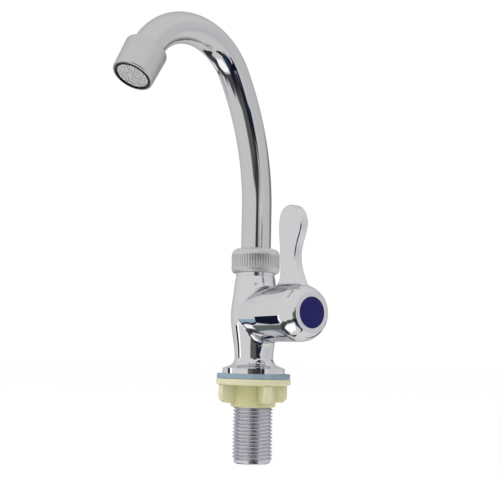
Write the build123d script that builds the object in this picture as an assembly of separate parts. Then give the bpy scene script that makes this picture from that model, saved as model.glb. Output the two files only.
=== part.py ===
from build123d import *
import os
from math import atan2, cos, degrees, hypot, pi, radians, sin, tan

# Basin tap with a swivelling gooseneck spout and a quarter-turn side lever.
# Millimetres. The origin is the centre of the deck plane, at the underside of the
# base gasket. +Z is up, +X runs along the lever's axis, and the user stands at -Y.

# Standard pipe thread G 1/2, on the inlet shank, the neck and the valve
G_HALF_MAJOR_R = 20.955 / 2
G_HALF_PITCH = 25.4 / 14
THREAD_DEPTH = 0.64 * G_HALF_PITCH
THREAD_CREST = 0.30
RUN_FIT = 0.07
BRAZE_FIT = 0.02
LOOSE_FIT = 0.1
EDGE_BREAK = 0.5

# Inlet shank, gasket and backnut
SHANK_END_Z = -43.6
SHANK_THREAD_END_Z = -41.6
SHANK_LEAD_R = 9.5
SHANK_BORE_R = 6.25
SPIGOT_R = 8.25
SPIGOT_TOP_Z = 11.4
GASKET_R = 19.35
GASKET_T = 2.65
GASKET_EDGE_R = 0.3
WASHER_R = 19.6
WASHER_T = 3.2
BACKNUT_HUB_R = 11.8
BACKNUT_BOTTOM_Z = -14.6
WING_TIP_R = 18.9
WING_T = 5.0
WING_BOTTOM_Z = -12.5
WING_CORNER_R = 3.5
WING_EDGE_R = 1.0
WING_FIRST_DEG = -12.0

# Body casting
BASE_R = 16.5
BASE_EDGE_Z = 5.4
BASE_FLARE_R = 4.16
BASE_SLOPE_DEG = 20.0
WAIST_R = 10.26
BELLY_LOW = (11.6, 22.4)
BELLY = (12.66, 35.1)
BELLY_HIGH = (11.55, 44.8)
SHOULDER_R = 10.4
SHOULDER_Z = 53.6
NECK_GROOVE_T = 0.5
NECK_GROOVE_DEPTH = 0.6
NECK_TOP_Z = 61.5
SOCKET_R = 8.0
SOCKET_FLOOR_Z = 48.0
OUTLET_PORT_R = 5.5
OUTLET_PORT_Z = 41.0
INLET_CHAMBER_R = 7.8
INLET_CHAMBER_TOP_Z = 17.5
RISER_R = 8.6
RISER_WALL_X = -5.2
RISER_TOP_Z = 38.2
RISER_OVERLAP = 3.0

# Valve, along the lever's axis
AXIS_Z = 33.6
BOSS_FACE_X = 19.0
BOSS_FACE_R = 14.1
BOSS_ROOT_R = 12.62
BOSS_BLEND_R = 4.0
SEAT_X = -3.5
SEAT_PORT_R = 4.4
SEAT_SEAL_R = 4.6
CHAMBER_R = 9.6
CHAMBER_END_X = 8.0
O_RING_LAND = 1.5
SEAL_T = 1.2
DISC_T = 3.0
FIXED_DISC_X = SEAT_X + SEAL_T
MOVING_DISC_X = FIXED_DISC_X + DISC_T
FOOT_X = MOVING_DISC_X + DISC_T
FIXED_DISC_R = 7.5
MOVING_DISC_R = 7.3
PORT_R = 6.4
PORT_CORE_R = 1.7
PORT_DEG = 70
DOG_LENGTH = 12.6
DOG_T = 2.4
DOG_DEPTH = 1.2
HOUSING_O_RING = (9.52, 0.68)
SLEEVE_R = 8.8
SLEEVE_BORE_R = 7.6
SPINDLE_R = 4.68
SPINDLE_FOOT_T = 2.5
SPINDLE_FOOT_R = 7.3
SPINDLE_BORE_R = SPINDLE_R + RUN_FIT
SPINDLE_GROOVE_R = 3.6
SPINDLE_GROOVE_T = 1.3
SPINDLE_O_RING = (4.15, 0.54)
THRUST_WASHER_T = 0.5
HEX_ACROSS_FLATS = 21.0
HEX_X = BOSS_FACE_X + 0.05
HEX_T = 5.4
HOUSING_NOSE_R = 7.4
HOUSING_NOSE_X = 29.0
SPLINE_R = 3.95
SPLINE_DEPTH = 0.35
SPLINE_TEETH = 20
SPLINE_START_X = 30.5
SPLINE_END_X = 40.6
STOP_LUG_DEG = 30.0
STOP_LUG_R = 6.7
STOP_LUG_T = 2.4
HANDLE_TURN_DEG = 90.0
SPINDLE_GROOVES_X = (14.0, 18.5)
CIRCLIP_X = HOUSING_NOSE_X + 0.15
CIRCLIP_R = 6.0
CIRCLIP_T = 0.7
CIRCLIP_GROOVE_R = 4.0
CIRCLIP_MOUTH = 2.6

# Lever
HUB_R = 14.4
HUB_START_X = 19.4
HUB_CYL_END_X = 38.3
HUB_FACE_X = 47.4
HUB_FACE_R = 10.7
HUB_SKIRT_R = 13.0
HUB_WEB_X = 33.5
HUB_SLEEVE_R = 7.0
HUB_SLEEVE_T = 2.0
HUB_FACE_EDGE = 0.5
CAP_R = 7.8
CAP_POCKET_X = 43.8
CAP_FACE_T = 1.6
CAP_PROUD = 0.05
BLADE_T = 5.4
BLADE_EDGE_R = 1.2
BLADE_ROOT_R = 2.5
BLADE_FOOT_Z = AXIS_Z + 6
BLADE_HEEL = (24.4, 54.6)
BLADE_FLARE_END = (19.7, 46.9)
BLADE_TOE = (44.0, 45.0)
SCREW_R = 2.0
SCREW_END_X = 29.0
SCREW_HOLE_END_X = 27.0
SCREW_SEAT_X = 41.2
SCREW_HEAD_R = 3.7
SCREW_HEAD_T = 2.2
CROSS_LENGTH = 4.2
CROSS_T = 0.9

# Spout nut
NUT_BOTTOM_Z = 55.6
NUT_TOP_Z = 68.65
NUT_BOTTOM_R = 11.7
NUT_R = 12.9
NUT_TOP_R = 9.2
NUT_FOOT_ARC = (12.62, 56.6)
NUT_CROWN_ARC = (11.75, 67.5)
NUT_LIP_Z = 66.0
NUT_RING_R = 10.3
SPLIT_GAP = 1.6
RIBS = 56
RIB_DEPTH = 0.45
RIB_BAND_Z = (58.1, 65.1)

# Spout
TUBE_R = 8.0
TUBE_WALL = 1.0
SWIVEL_DEG = 8.2
TUBE_START_Z = 64.5
RISE_TOP_Z = 90.1
SWEEP_R = 141.3
SWEEP_DEG = 30.1
CROOK_R = 33.4
CROOK_DEG = 122.2
COLLAR_Z = 62.3
COLLAR_R = 9.6
STEM_END_Z = 48.8
STEM_BORE_R = 5.2
TUBE_PLUG_L = 5.5
SPOUT_GROOVES_Z = (52.0, 57.0)
SPOUT_GROOVE_R = 6.4
SPOUT_GROOVE_T = 2.0
SPOUT_O_RING = (7.19, 0.76)

# Aerator, measured along its own axis from the end of the spout's bend
CUP_TOP_S = -1.6
CUP_SHOULDER_S = 0.4
CUP_SHOULDER_EDGE = 0.35
CUP_TOP_R = 10.9
CUP_MOUTH_R = 10.38
CUP_MOUTH_S = 17.45
CUP_MOUTH_EDGE = 0.85
CUP_TAPER_END_S = 15.0
CUP_BORE_R = 9.35
CUP_BORE_START_S = 0.6
CUP_NECK_R = TUBE_R + 0.3
LEDGE_S = (15.2, 15.9)
TUBE_END_S = 6.2
ADAPTOR_START_S = 0.8
ADAPTOR_END_S = 8.0
ADAPTOR_LIP_R = 6.9
AERATOR_GASKET_R = (6.6, 9.1)
SHELL_START_S = 9.6
SHELL_FLANGE_R = 9.2
SHELL_FLANGE_T = 1.0
SHELL_R = 8.55
SHELL_END_S = 17.1
SCREEN_R = 7.95
SCREEN_S = 16.4
SCREEN_T = 0.4
SCREEN_HOLE_R = 0.3
SCREEN_HOLE_PITCH = 1.28
STRAINER_T = 0.5
STRAINER_HOLE_R = 0.5
STRAINER_HOLE_PITCH = 2.0
FLOW_BODY_S = SHELL_START_S + 1.2
FLOW_PLATE_T = 1.6
FLOW_SKIRT_T = 2.8
FLOW_CORE_R = 1.6
FLOW_HOLE_R = 0.55
FLOW_HOLE_PITCH = 2.6
MOUTH_RING_R = 9.38
MOUTH_RING_PROUD = 0.3
MOUTH_POCKET_R = 9.4


def turned(*outline):
    """Turns a closed outline of (radius, height) corners about Z."""
    return revolve(Plane.XZ * make_face(Polyline(*outline, close=True)), Axis.Z)


def ring(inner, outer, low, high):
    """A plain ring about Z."""
    return turned((inner, low), (outer, low), (outer, high), (inner, high))


def rod(radius, low, high):
    """A plain round bar about Z."""
    return Pos(0, 0, (low + high) / 2) * Cylinder(radius, high - low)


def o_ring(middle_r, section_r, height):
    """A rubber ring of round section about Z."""
    return Pos(0, 0, height) * Torus(middle_r, section_r)


def along_x(shape):
    """Lays a shape made about Z along the lever's axis, its heights becoming X."""
    return Pos(0, 0, AXIS_Z) * Rot(0, 90, 0) * shape


def threaded_rod(major_r, low, high):
    """A solid bar about Z with level ridges at the pipe thread's pitch and depth."""
    turns = int((high - low) / G_HALF_PITCH)
    flank = (G_HALF_PITCH - 2 * THREAD_CREST) / 2
    corners = [(0, low), (major_r, low)]
    for turn in range(turns):
        crest_end = low + turn * G_HALF_PITCH + THREAD_CREST
        corners.append((major_r, crest_end))
        corners.append((major_r - THREAD_DEPTH, crest_end + flank))
        corners.append((major_r - THREAD_DEPTH, crest_end + flank + THREAD_CREST))
        corners.append((major_r, crest_end + 2 * flank + THREAD_CREST))
    corners += [(major_r, high), (0, high)]
    return turned(*corners)


def toothed_rod(radius, depth, teeth, low, high):
    """A bar about Z with straight pointed teeth round it."""
    step = 2 * pi / teeth
    corners = []
    for tooth in range(teeth):
        corners.append((radius * cos(tooth * step), radius * sin(tooth * step)))
        root = radius - depth
        corners.append((root * cos((tooth + 0.5) * step), root * sin((tooth + 0.5) * step)))
    return Pos(0, 0, low) * extrude(make_face(Polyline(*corners, close=True)), high - low)


def sector(radius, from_deg, to_deg, low, high):
    """A wedge of a disc about Z, used to cut windows and stops."""
    middle = (from_deg + to_deg) / 2
    first, half, last = (
        (radius * cos(radians(a)), radius * sin(radians(a))) for a in (from_deg, middle, to_deg)
    )
    outline = Line((0, 0), first) + ThreePointArc(first, half, last) + Line(last, (0, 0))
    return Pos(0, 0, low) * extrude(make_face(outline), high - low)


def hole_rings(rings, pitch, hole_r, low, high):
    """Round cutters in a centre and concentric rings of 6, 12, 18 and so on."""
    holes = [rod(hole_r, low, high)]
    for ring_no in range(1, rings + 1):
        for place in range(6 * ring_no):
            angle = 2 * pi * place / (6 * ring_no)
            spot = Pos(ring_no * pitch * cos(angle), ring_no * pitch * sin(angle), 0)
            holes.append(spot * rod(hole_r, low, high))
    return holes


def body_outline():
    """The casting's outer skin of revolution, from the base up to the neck thread."""
    flare_end_r = WAIST_R + BASE_FLARE_R * (1 - cos(radians(90 - BASE_SLOPE_DEG)))
    flare_end_z = BASE_EDGE_Z + (BASE_R - flare_end_r) * tan(radians(BASE_SLOPE_DEG))
    flare_start_z = flare_end_z + BASE_FLARE_R * sin(radians(90 - BASE_SLOPE_DEG))
    flare = RadiusArc((WAIST_R, flare_start_z), (flare_end_r, flare_end_z), -BASE_FLARE_R)
    side = Spline(
        (WAIST_R, flare_start_z),
        BELLY_LOW,
        BELLY,
        BELLY_HIGH,
        (SHOULDER_R, SHOULDER_Z),
        tangents=[(0, 1), (-0.25, 1)],
    )
    base = Polyline((flare_end_r, flare_end_z), (BASE_R, BASE_EDGE_Z), (BASE_R, GASKET_T), (0, GASKET_T))
    top = Polyline((SHOULDER_R, SHOULDER_Z), (0, SHOULDER_Z), (0, GASKET_T))
    return make_face([flare, side, base, top])


def boss_outline():
    """The side boss, as a flaring outline of radius against X."""
    side = Spline((BOSS_ROOT_R, 0), (BOSS_FACE_R, BOSS_FACE_X), tangents=[(0, 1), (0.03, 1)])
    rest = Polyline((BOSS_FACE_R, BOSS_FACE_X), (0, BOSS_FACE_X), (0, 0), (BOSS_ROOT_R, 0))
    return make_face([side, rest])


def on_both(edge):
    """True for the closed seam where the boss meets the column."""
    box = edge.bounding_box()
    wide = box.max.Y - box.min.Y > BOSS_ROOT_R
    inside = box.max.X < BOSS_FACE_X - 1 and box.min.X > 0.5
    return wide and inside


def tap_body():
    """The cast body: base, belly, valve boss and threaded neck, with its waterways."""
    column = revolve(Plane.XZ * body_outline(), Axis.Z)
    boss = along_x(revolve(Plane.XZ * boss_outline(), Axis.Z))
    skin = column + boss
    seams = [e for e in skin.edges() if on_both(e)]
    skin = fillet(seams, BOSS_BLEND_R)
    groove_top = SHOULDER_Z + NECK_GROOVE_T
    skin += rod(SHOULDER_R - NECK_GROOVE_DEPTH, SHOULDER_Z, groove_top)
    skin += rod(SHOULDER_R, groove_top, NUT_BOTTOM_Z)
    skin += threaded_rod(G_HALF_MAJOR_R, NUT_BOTTOM_Z, NECK_TOP_Z)
    return skin - waterways()


def waterways():
    """Everything bored and cored out of the casting."""
    ways = rod(SPIGOT_R + BRAZE_FIT, GASKET_T, SPIGOT_TOP_Z + LOOSE_FIT)
    ways += rod(INLET_CHAMBER_R, SPIGOT_TOP_Z, INLET_CHAMBER_TOP_Z)
    riser = rod(RISER_R, INLET_CHAMBER_TOP_Z - RISER_OVERLAP, RISER_TOP_Z)
    riser -= Pos(RISER_WALL_X + BASE_R, 0, RISER_TOP_Z / 2) * Box(2 * BASE_R, 2 * BASE_R, 2 * RISER_TOP_Z)
    ways += riser
    ways += along_x(rod(SEAT_PORT_R, RISER_WALL_X - EDGE_BREAK, SEAT_X))
    ways += along_x(rod(CHAMBER_R, SEAT_X, CHAMBER_END_X))
    ways += along_x(rod(G_HALF_MAJOR_R + RUN_FIT, CHAMBER_END_X, BOSS_FACE_X))
    ways += rod(OUTLET_PORT_R, OUTLET_PORT_Z, SOCKET_FLOOR_Z)
    ways += rod(SOCKET_R, SOCKET_FLOOR_Z, NECK_TOP_Z)
    return ways


def inlet_shank():
    """The threaded tail, with a plain lead at its foot and a spigot into the casting."""
    shank = threaded_rod(G_HALF_MAJOR_R, SHANK_THREAD_END_Z, GASKET_T)
    lead = rod(SHANK_LEAD_R, SHANK_END_Z, SHANK_THREAD_END_Z)
    shank += chamfer(lead.edges().group_by(Axis.Z)[0], EDGE_BREAK)
    shank += rod(SPIGOT_R, GASKET_T, SPIGOT_TOP_Z)
    return shank - rod(SHANK_BORE_R, SHANK_END_Z, SPIGOT_TOP_Z)


def base_gasket():
    """The soft ring between the base and the deck."""
    gasket = ring(G_HALF_MAJOR_R + LOOSE_FIT, GASKET_R, 0, GASKET_T)
    return fillet(gasket.edges().filter_by(GeomType.CIRCLE).group_by(SortBy.RADIUS)[-1], GASKET_EDGE_R)


def clamp_washer():
    """The plastic disc that the backnut pushes up against the deck."""
    washer = ring(G_HALF_MAJOR_R + RUN_FIT, WASHER_R, -WASHER_T, 0)
    return fillet(washer.edges().filter_by(GeomType.CIRCLE).group_by(SortBy.RADIUS)[-1], EDGE_BREAK)


def backnut():
    """The hand-tightened nut: a round hub with four upright wings."""
    hub = rod(BACKNUT_HUB_R, BACKNUT_BOTTOM_Z, -WASHER_T)
    hub = chamfer(hub.edges().group_by(Axis.Z)[0], EDGE_BREAK)
    height = -WASHER_T - WING_BOTTOM_Z
    blank = Pos(0, 0, WING_BOTTOM_Z + height / 2) * Box(2 * WING_TIP_R, WING_T, height)
    corners = blank.edges().filter_by(Axis.Y).group_by(Axis.Z)[0]
    blank = fillet(corners, WING_CORNER_R)
    blank = fillet(blank.edges().filter_by(Axis.Z), WING_EDGE_R)
    nut = hub
    for turn in range(2):
        nut += Rot(0, 0, WING_FIRST_DEG + 90 * turn) * blank
    return nut - rod(G_HALF_MAJOR_R + RUN_FIT, BACKNUT_BOTTOM_Z, -WASHER_T)


def spout_nut():
    """The knurled ring nut that holds the spout's collar down on the neck."""
    low, high = RIB_BAND_Z
    root = NUT_R - RIB_DEPTH
    skin = [
        Line((0, NUT_BOTTOM_Z), (NUT_BOTTOM_R, NUT_BOTTOM_Z)),
        ThreePointArc((NUT_BOTTOM_R, NUT_BOTTOM_Z), NUT_FOOT_ARC, (NUT_R, low)),
        Polyline((NUT_R, low), (root, low), (root, high), (NUT_R, high)),
        ThreePointArc((NUT_R, high), NUT_CROWN_ARC, (NUT_TOP_R, NUT_TOP_Z)),
        Polyline((NUT_TOP_R, NUT_TOP_Z), (0, NUT_TOP_Z), (0, NUT_BOTTOM_Z)),
    ]
    nut = revolve(Plane.XZ * make_face(skin), Axis.Z)
    nut += toothed_rod(NUT_R, RIB_DEPTH + BRAZE_FIT, RIBS, low, high)
    nut -= rod(G_HALF_MAJOR_R + RUN_FIT, NUT_BOTTOM_Z, NUT_LIP_Z)
    return nut - rod(TUBE_R + RUN_FIT, NUT_LIP_Z, NUT_TOP_Z)


def neck_slip_ring():
    """The hard plastic ring that the spout's collar turns on."""
    return ring(SOCKET_R + LOOSE_FIT, NUT_RING_R, NECK_TOP_Z, COLLAR_Z)


def spout_retaining_ring():
    """The split ring between the collar and the nut's lip."""
    blank = ring(TUBE_R + RUN_FIT, NUT_RING_R, TUBE_START_Z, NUT_LIP_Z)
    return blank - Pos(-NUT_RING_R, 0, NUT_LIP_Z) * Box(2 * TUBE_R, SPLIT_GAP, TUBE_R)


def valve_seat_seal():
    """The rubber ring pressed between the casting's seat and the fixed disc."""
    return along_x(ring(SEAT_SEAL_R, FIXED_DISC_R, SEAT_X, FIXED_DISC_X))


def disc_ports(radius, low, high):
    """Two opposite windows in a disc, centred on the local Y axis."""
    ports = sector(radius, 90 - PORT_DEG / 2, 90 + PORT_DEG / 2, low, high)
    ports += Rot(0, 0, 180) * ports
    return ports - rod(PORT_CORE_R, low, high)


def fixed_disc():
    """The ceramic disc keyed into the housing."""
    disc = rod(FIXED_DISC_R, FIXED_DISC_X, MOVING_DISC_X)
    return along_x(disc - disc_ports(PORT_R, FIXED_DISC_X, MOVING_DISC_X))


def moving_disc():
    """The ceramic disc turned by the spindle. Its open notches are across the ports when shut."""
    notches = Rot(0, 0, 90) * disc_ports(SLEEVE_R, MOVING_DISC_X, FOOT_X)
    slot_t = DOG_T + LOOSE_FIT
    slot = Pos(0, 0, FOOT_X) * Box(slot_t, 2 * MOVING_DISC_R, 2 * (DOG_DEPTH + LOOSE_FIT))
    return along_x(rod(MOVING_DISC_R, MOVING_DISC_X, FOOT_X) - notches - slot)


def cartridge_housing():
    """The brass valve housing: windowed sleeve, thread, hexagon and nose."""
    thread_x = CHAMBER_END_X + O_RING_LAND
    shoulder_x = FOOT_X + SPINDLE_FOOT_T + THRUST_WASHER_T + LOOSE_FIT
    housing = rod(SLEEVE_R, FIXED_DISC_X, thread_x)
    housing += threaded_rod(G_HALF_MAJOR_R, thread_x, HEX_X)
    hexagon = RegularPolygon(HEX_ACROSS_FLATS / 2, 6, major_radius=False)
    housing += Pos(0, 0, HEX_X) * extrude(hexagon, HEX_T)
    housing += rod(HOUSING_NOSE_R, HEX_X + HEX_T, HOUSING_NOSE_X)
    housing -= rod(SLEEVE_BORE_R, FIXED_DISC_X, shoulder_x)
    housing -= rod(SPINDLE_BORE_R, shoulder_x, HOUSING_NOSE_X)
    for side in (90, 270):
        window = (side - PORT_DEG / 2, side + PORT_DEG / 2)
        housing -= sector(SLEEVE_R + 1, *window, MOVING_DISC_X + LOOSE_FIT, FOOT_X)
    lug_half = STOP_LUG_DEG / 2 + EDGE_BREAK
    stop = sector(
        STOP_LUG_R + 2 * LOOSE_FIT, -lug_half, HANDLE_TURN_DEG + lug_half,
        HOUSING_NOSE_X - STOP_LUG_T - LOOSE_FIT, HOUSING_NOSE_X,
    )
    return along_x(housing - Rot(0, 0, -90) * stop)


def housing_o_ring():
    """The rubber ring that seals the housing in the boss."""
    return along_x(o_ring(*HOUSING_O_RING, CHAMBER_END_X + O_RING_LAND / 2))


def spindle():
    """The spindle: dog, foot, grooved shaft, stop lug and toothed end with a tapped hole."""
    dog = Pos(0, 0, FOOT_X - DOG_DEPTH / 2) * Box(DOG_T, DOG_LENGTH, DOG_DEPTH)
    bar = dog + rod(SPINDLE_FOOT_R, FOOT_X, FOOT_X + SPINDLE_FOOT_T)
    bar += rod(SPINDLE_R, FOOT_X, SPLINE_START_X)
    half = SPINDLE_GROOVE_T / 2
    for groove_x in SPINDLE_GROOVES_X:
        bar -= ring(SPINDLE_GROOVE_R, SPINDLE_R + 1, groove_x - half, groove_x + half)
    bar -= ring(CIRCLIP_GROOVE_R, SPINDLE_R + 1, CIRCLIP_X, CIRCLIP_X + CIRCLIP_T + LOOSE_FIT)
    lug_x = HOUSING_NOSE_X - STOP_LUG_T
    lug = sector(STOP_LUG_R, -STOP_LUG_DEG / 2, STOP_LUG_DEG / 2, lug_x, HOUSING_NOSE_X)
    bar += Rot(0, 0, -90) * lug
    bar += toothed_rod(SPLINE_R, SPLINE_DEPTH, SPLINE_TEETH, SPLINE_START_X, SPLINE_END_X)
    return along_x(bar - rod(SCREW_R + BRAZE_FIT, SCREW_HOLE_END_X, SPLINE_END_X))


def spindle_o_rings():
    """The two rubber rings in the spindle's grooves."""
    rings = [along_x(o_ring(*SPINDLE_O_RING, groove_x)) for groove_x in SPINDLE_GROOVES_X]
    return Compound(children=rings)


def thrust_washer():
    """The slippery washer between the spindle's foot and the housing's shoulder."""
    low = FOOT_X + SPINDLE_FOOT_T
    return along_x(ring(SPINDLE_R + BRAZE_FIT, SPINDLE_FOOT_R, low, low + THRUST_WASHER_T))


def spindle_circlip():
    """The open spring ring that keeps the spindle in the housing."""
    low = CIRCLIP_X + LOOSE_FIT / 2
    clip = ring(CIRCLIP_GROOVE_R + BRAZE_FIT, CIRCLIP_R, low, low + CIRCLIP_T)
    mouth = Pos(-CIRCLIP_R, 0, CIRCLIP_X) * Box(CIRCLIP_R, CIRCLIP_MOUTH, CIRCLIP_R)
    return along_x(clip - mouth)


def blade_outline():
    """The lever's paddle seen along Y, as X and Z, with its foot inside the hub."""
    rim = Spline(
        BLADE_HEEL, (23.9, 66.0), (22.7, 79.0), (24.9, 86.4), (32.0, 88.8), (38.3, 85.6),
        (40.8, 78.0), (38.3, 70.4), (36.2, 62.0), (38.7, 53.0), BLADE_TOE,
        tangents=[(0, 1), (1, -1)],
    )
    flare = TangentArc(BLADE_HEEL, BLADE_FLARE_END, tangent=(0, -1))
    foot = Polyline(
        BLADE_TOE, (BLADE_TOE[0], BLADE_FOOT_Z), (BLADE_FLARE_END[0], BLADE_FOOT_Z), BLADE_FLARE_END
    )
    return make_face([rim, flare, foot])


def hub_outline():
    """The lever hub's outer skin, as radius against X, with its crowned front."""
    edge = (HUB_FACE_R + LOOSE_FIT, HUB_FACE_X - HUB_FACE_EDGE)
    reach = edge[1] - HUB_CYL_END_X
    drop = HUB_R - edge[0]
    crown_r = hypot(reach, drop) ** 2 / (2 * drop)
    return make_face([
        Polyline((0, HUB_START_X), (HUB_R, HUB_START_X), (HUB_R, HUB_CYL_END_X)),
        RadiusArc((HUB_R, HUB_CYL_END_X), edge, -crown_r),
        Polyline(edge, (HUB_FACE_R - HUB_FACE_EDGE, HUB_FACE_X), (0, HUB_FACE_X), (0, HUB_START_X)),
    ])


def blade_rim(blade):
    """The long edges round both faces of the paddle, above its foot."""
    rim = []
    for edge in blade.edges():
        box = edge.bounding_box()
        flat = box.max.Y - box.min.Y < LOOSE_FIT
        if flat and box.min.Z > BLADE_FOOT_Z + 2:
            rim.append(edge)
    return rim


def blade_root(lever):
    """The seam round the paddle where it stands on the hub."""
    seam = []
    for edge in lever.edges():
        middle = edge @ 0.5
        box = edge.bounding_box()
        on_hub = hypot(middle.Y, middle.Z - AXIS_Z) < HUB_R + LOOSE_FIT / 2
        above = abs(middle.Y) < BLADE_T and middle.Z > BLADE_FOOT_Z + 2 * BLADE_ROOT_R
        inboard = middle.X > HUB_START_X + LOOSE_FIT
        if on_hub and above and inboard and box.size.X < HUB_CYL_END_X - HUB_START_X:
            seam.append(edge)
    return seam


def hub_hollows():
    """What is bored out of the lever's hub, back to front."""
    web_back_x = HUB_WEB_X - HUB_SLEEVE_T
    hollows = rod(HUB_SKIRT_R, HUB_START_X, HUB_WEB_X) - rod(HUB_SLEEVE_R, web_back_x, HUB_WEB_X)
    socket_r = SPLINE_R + LOOSE_FIT / 2
    hollows += toothed_rod(socket_r, SPLINE_DEPTH, SPLINE_TEETH, web_back_x, SPLINE_END_X + EDGE_BREAK)
    hollows += rod(SCREW_R + 2 * LOOSE_FIT, SPLINE_END_X, SCREW_SEAT_X)
    hollows += rod(SCREW_HEAD_R + 4 * LOOSE_FIT, SCREW_SEAT_X, CAP_POCKET_X)
    return hollows + rod(CAP_R + LOOSE_FIT / 2, CAP_POCKET_X, HUB_FACE_X)


def lever_handle():
    """The lever: hollow hub and upright paddle in one casting."""
    hub = along_x(revolve(Plane.XZ * hub_outline(), Axis.Z))
    blade = extrude(Plane.XZ.offset(-BLADE_T / 2) * blade_outline(), BLADE_T)
    lever = hub + fillet(blade_rim(blade), BLADE_EDGE_R)
    lever = fillet(blade_root(lever), BLADE_ROOT_R)
    return lever - along_x(hub_hollows())


def handle_screw():
    """The cross-head screw that holds the lever on the spindle."""
    head = rod(SCREW_HEAD_R, SCREW_SEAT_X, SCREW_SEAT_X + SCREW_HEAD_T)
    head = fillet(head.edges().group_by(Axis.Z)[-1], 2 * EDGE_BREAK)
    cross = Box(CROSS_LENGTH, CROSS_T, SCREW_HEAD_T) + Box(CROSS_T, CROSS_LENGTH, SCREW_HEAD_T)
    screw = rod(SCREW_R, SCREW_END_X, SCREW_SEAT_X) + head
    return along_x(screw - Pos(0, 0, SCREW_SEAT_X + SCREW_HEAD_T) * cross)


def index_cap():
    """The blue cold-water cap: a low dome on a short clip skirt."""
    face_back_x = HUB_FACE_X - CAP_FACE_T
    face = rod(CAP_R, face_back_x, HUB_FACE_X + CAP_PROUD)
    face = fillet(face.edges().group_by(Axis.Z)[-1], EDGE_BREAK)
    skirt = ring(CAP_R - 1, CAP_R - LOOSE_FIT, CAP_POCKET_X + LOOSE_FIT, face_back_x)
    return along_x(face + skirt)


def spout_runs():
    """The tube's centre line in the XZ plane: the rise, the long sweep and the crook."""
    rise = Line((0, TUBE_START_Z), (0, RISE_TOP_Z))
    long_sweep = JernArc(rise @ 1, rise % 1, SWEEP_R, -SWEEP_DEG)
    crook = JernArc(long_sweep @ 1, long_sweep % 1, CROOK_R, -CROOK_DEG)
    return rise, long_sweep, crook


def turn_spout(shape):
    """Turns a shape made with the spout along +X to the stored swivel position."""
    return Rot(0, 0, SWIVEL_DEG - 90) * shape


def at_outlet(shape):
    """Places a shape made about Z, its heights running down the aerator's axis."""
    crook = spout_runs()[-1]
    end, heading = crook @ 1, crook % 1
    tilt = degrees(atan2(heading.X, heading.Y))
    return turn_spout(Pos(end.X, 0, end.Y) * Rot(0, tilt, 0) * shape)


def spout_tube():
    """The bent tube, brazed to its spigot below and its adaptor at the outlet."""
    rise, long_sweep, crook = spout_runs()
    tail = Line(crook @ 1, (crook @ 1) + (crook % 1) * TUBE_END_S)
    path = Plane.XZ * Wire([*rise.edges(), *long_sweep.edges(), *crook.edges(), *tail.edges()])
    foot = Pos(0, 0, TUBE_START_Z)
    outer = sweep(foot * Circle(TUBE_R), path=path)
    inner = sweep(foot * Circle(TUBE_R - TUBE_WALL), path=path)
    return turn_spout(outer - inner)


def spout_spigot():
    """The turned end that plugs into the neck: stem, collar and plug into the tube."""
    plug_top_z = TUBE_START_Z + TUBE_PLUG_L
    spigot = rod(SOCKET_R - RUN_FIT, STEM_END_Z, COLLAR_Z)
    half = SPOUT_GROOVE_T / 2
    for groove_z in SPOUT_GROOVES_Z:
        spigot -= ring(SPOUT_GROOVE_R, SOCKET_R, groove_z - half, groove_z + half)
    spigot += rod(COLLAR_R, COLLAR_Z, TUBE_START_Z)
    spigot += rod(TUBE_R - TUBE_WALL - BRAZE_FIT, TUBE_START_Z, plug_top_z)
    return spigot - rod(STEM_BORE_R, STEM_END_Z, plug_top_z)


def spout_o_rings():
    """The two rubber rings that seal the turning spout in the neck."""
    return Compound(children=[o_ring(*SPOUT_O_RING, groove_z) for groove_z in SPOUT_GROOVES_Z])


def outlet_adaptor():
    """The threaded ring brazed on the tube's end, which the aerator screws on to."""
    outer = CUP_BORE_R - LOOSE_FIT
    adaptor = ring(TUBE_R + BRAZE_FIT, outer, ADAPTOR_START_S, ADAPTOR_END_S)
    return at_outlet(adaptor + ring(ADAPTOR_LIP_R, outer, TUBE_END_S, ADAPTOR_END_S))


def aerator_housing():
    """The cup on the end of the spout, coned at its top and tapered to the mouth."""
    lip_start_s = CUP_MOUTH_S - CUP_MOUTH_EDGE
    lip_r = CUP_MOUTH_R - CUP_MOUTH_EDGE + LOOSE_FIT
    ledge_r = SHELL_R + LOOSE_FIT
    skin = [
        Polyline(
            (CUP_NECK_R, CUP_TOP_S), (CUP_TOP_R - CUP_SHOULDER_EDGE, CUP_SHOULDER_S - CUP_SHOULDER_EDGE),
            (CUP_TOP_R, CUP_SHOULDER_S), (CUP_MOUTH_R, CUP_TAPER_END_S), (CUP_MOUTH_R, lip_start_s),
        ),
        RadiusArc((CUP_MOUTH_R, lip_start_s), (lip_r, CUP_MOUTH_S), -CUP_MOUTH_EDGE),
        Polyline(
            (lip_r, CUP_MOUTH_S), (MOUTH_POCKET_R, CUP_MOUTH_S), (MOUTH_POCKET_R, LEDGE_S[1]),
            (ledge_r, LEDGE_S[1]), (ledge_r, LEDGE_S[0]), (CUP_BORE_R, LEDGE_S[0]),
            (CUP_BORE_R, CUP_BORE_START_S), (CUP_NECK_R, CUP_BORE_START_S), (CUP_NECK_R, CUP_TOP_S),
        ),
    ]
    return at_outlet(revolve(Plane.XZ * make_face(skin), Axis.Z))


def aerator_gasket():
    """The flat rubber washer between the adaptor and the aerator's shell."""
    return at_outlet(ring(*AERATOR_GASKET_R, ADAPTOR_END_S, SHELL_START_S))


def aerator_shell():
    """The flanged metal sleeve that holds the screens and the flow body."""
    flange_end_s = SHELL_START_S + SHELL_FLANGE_T
    bore = SCREEN_R + BRAZE_FIT
    shell = ring(bore, SHELL_FLANGE_R, SHELL_START_S, flange_end_s)
    return at_outlet(shell + ring(bore, SHELL_R, flange_end_s, SHELL_END_S))


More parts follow.
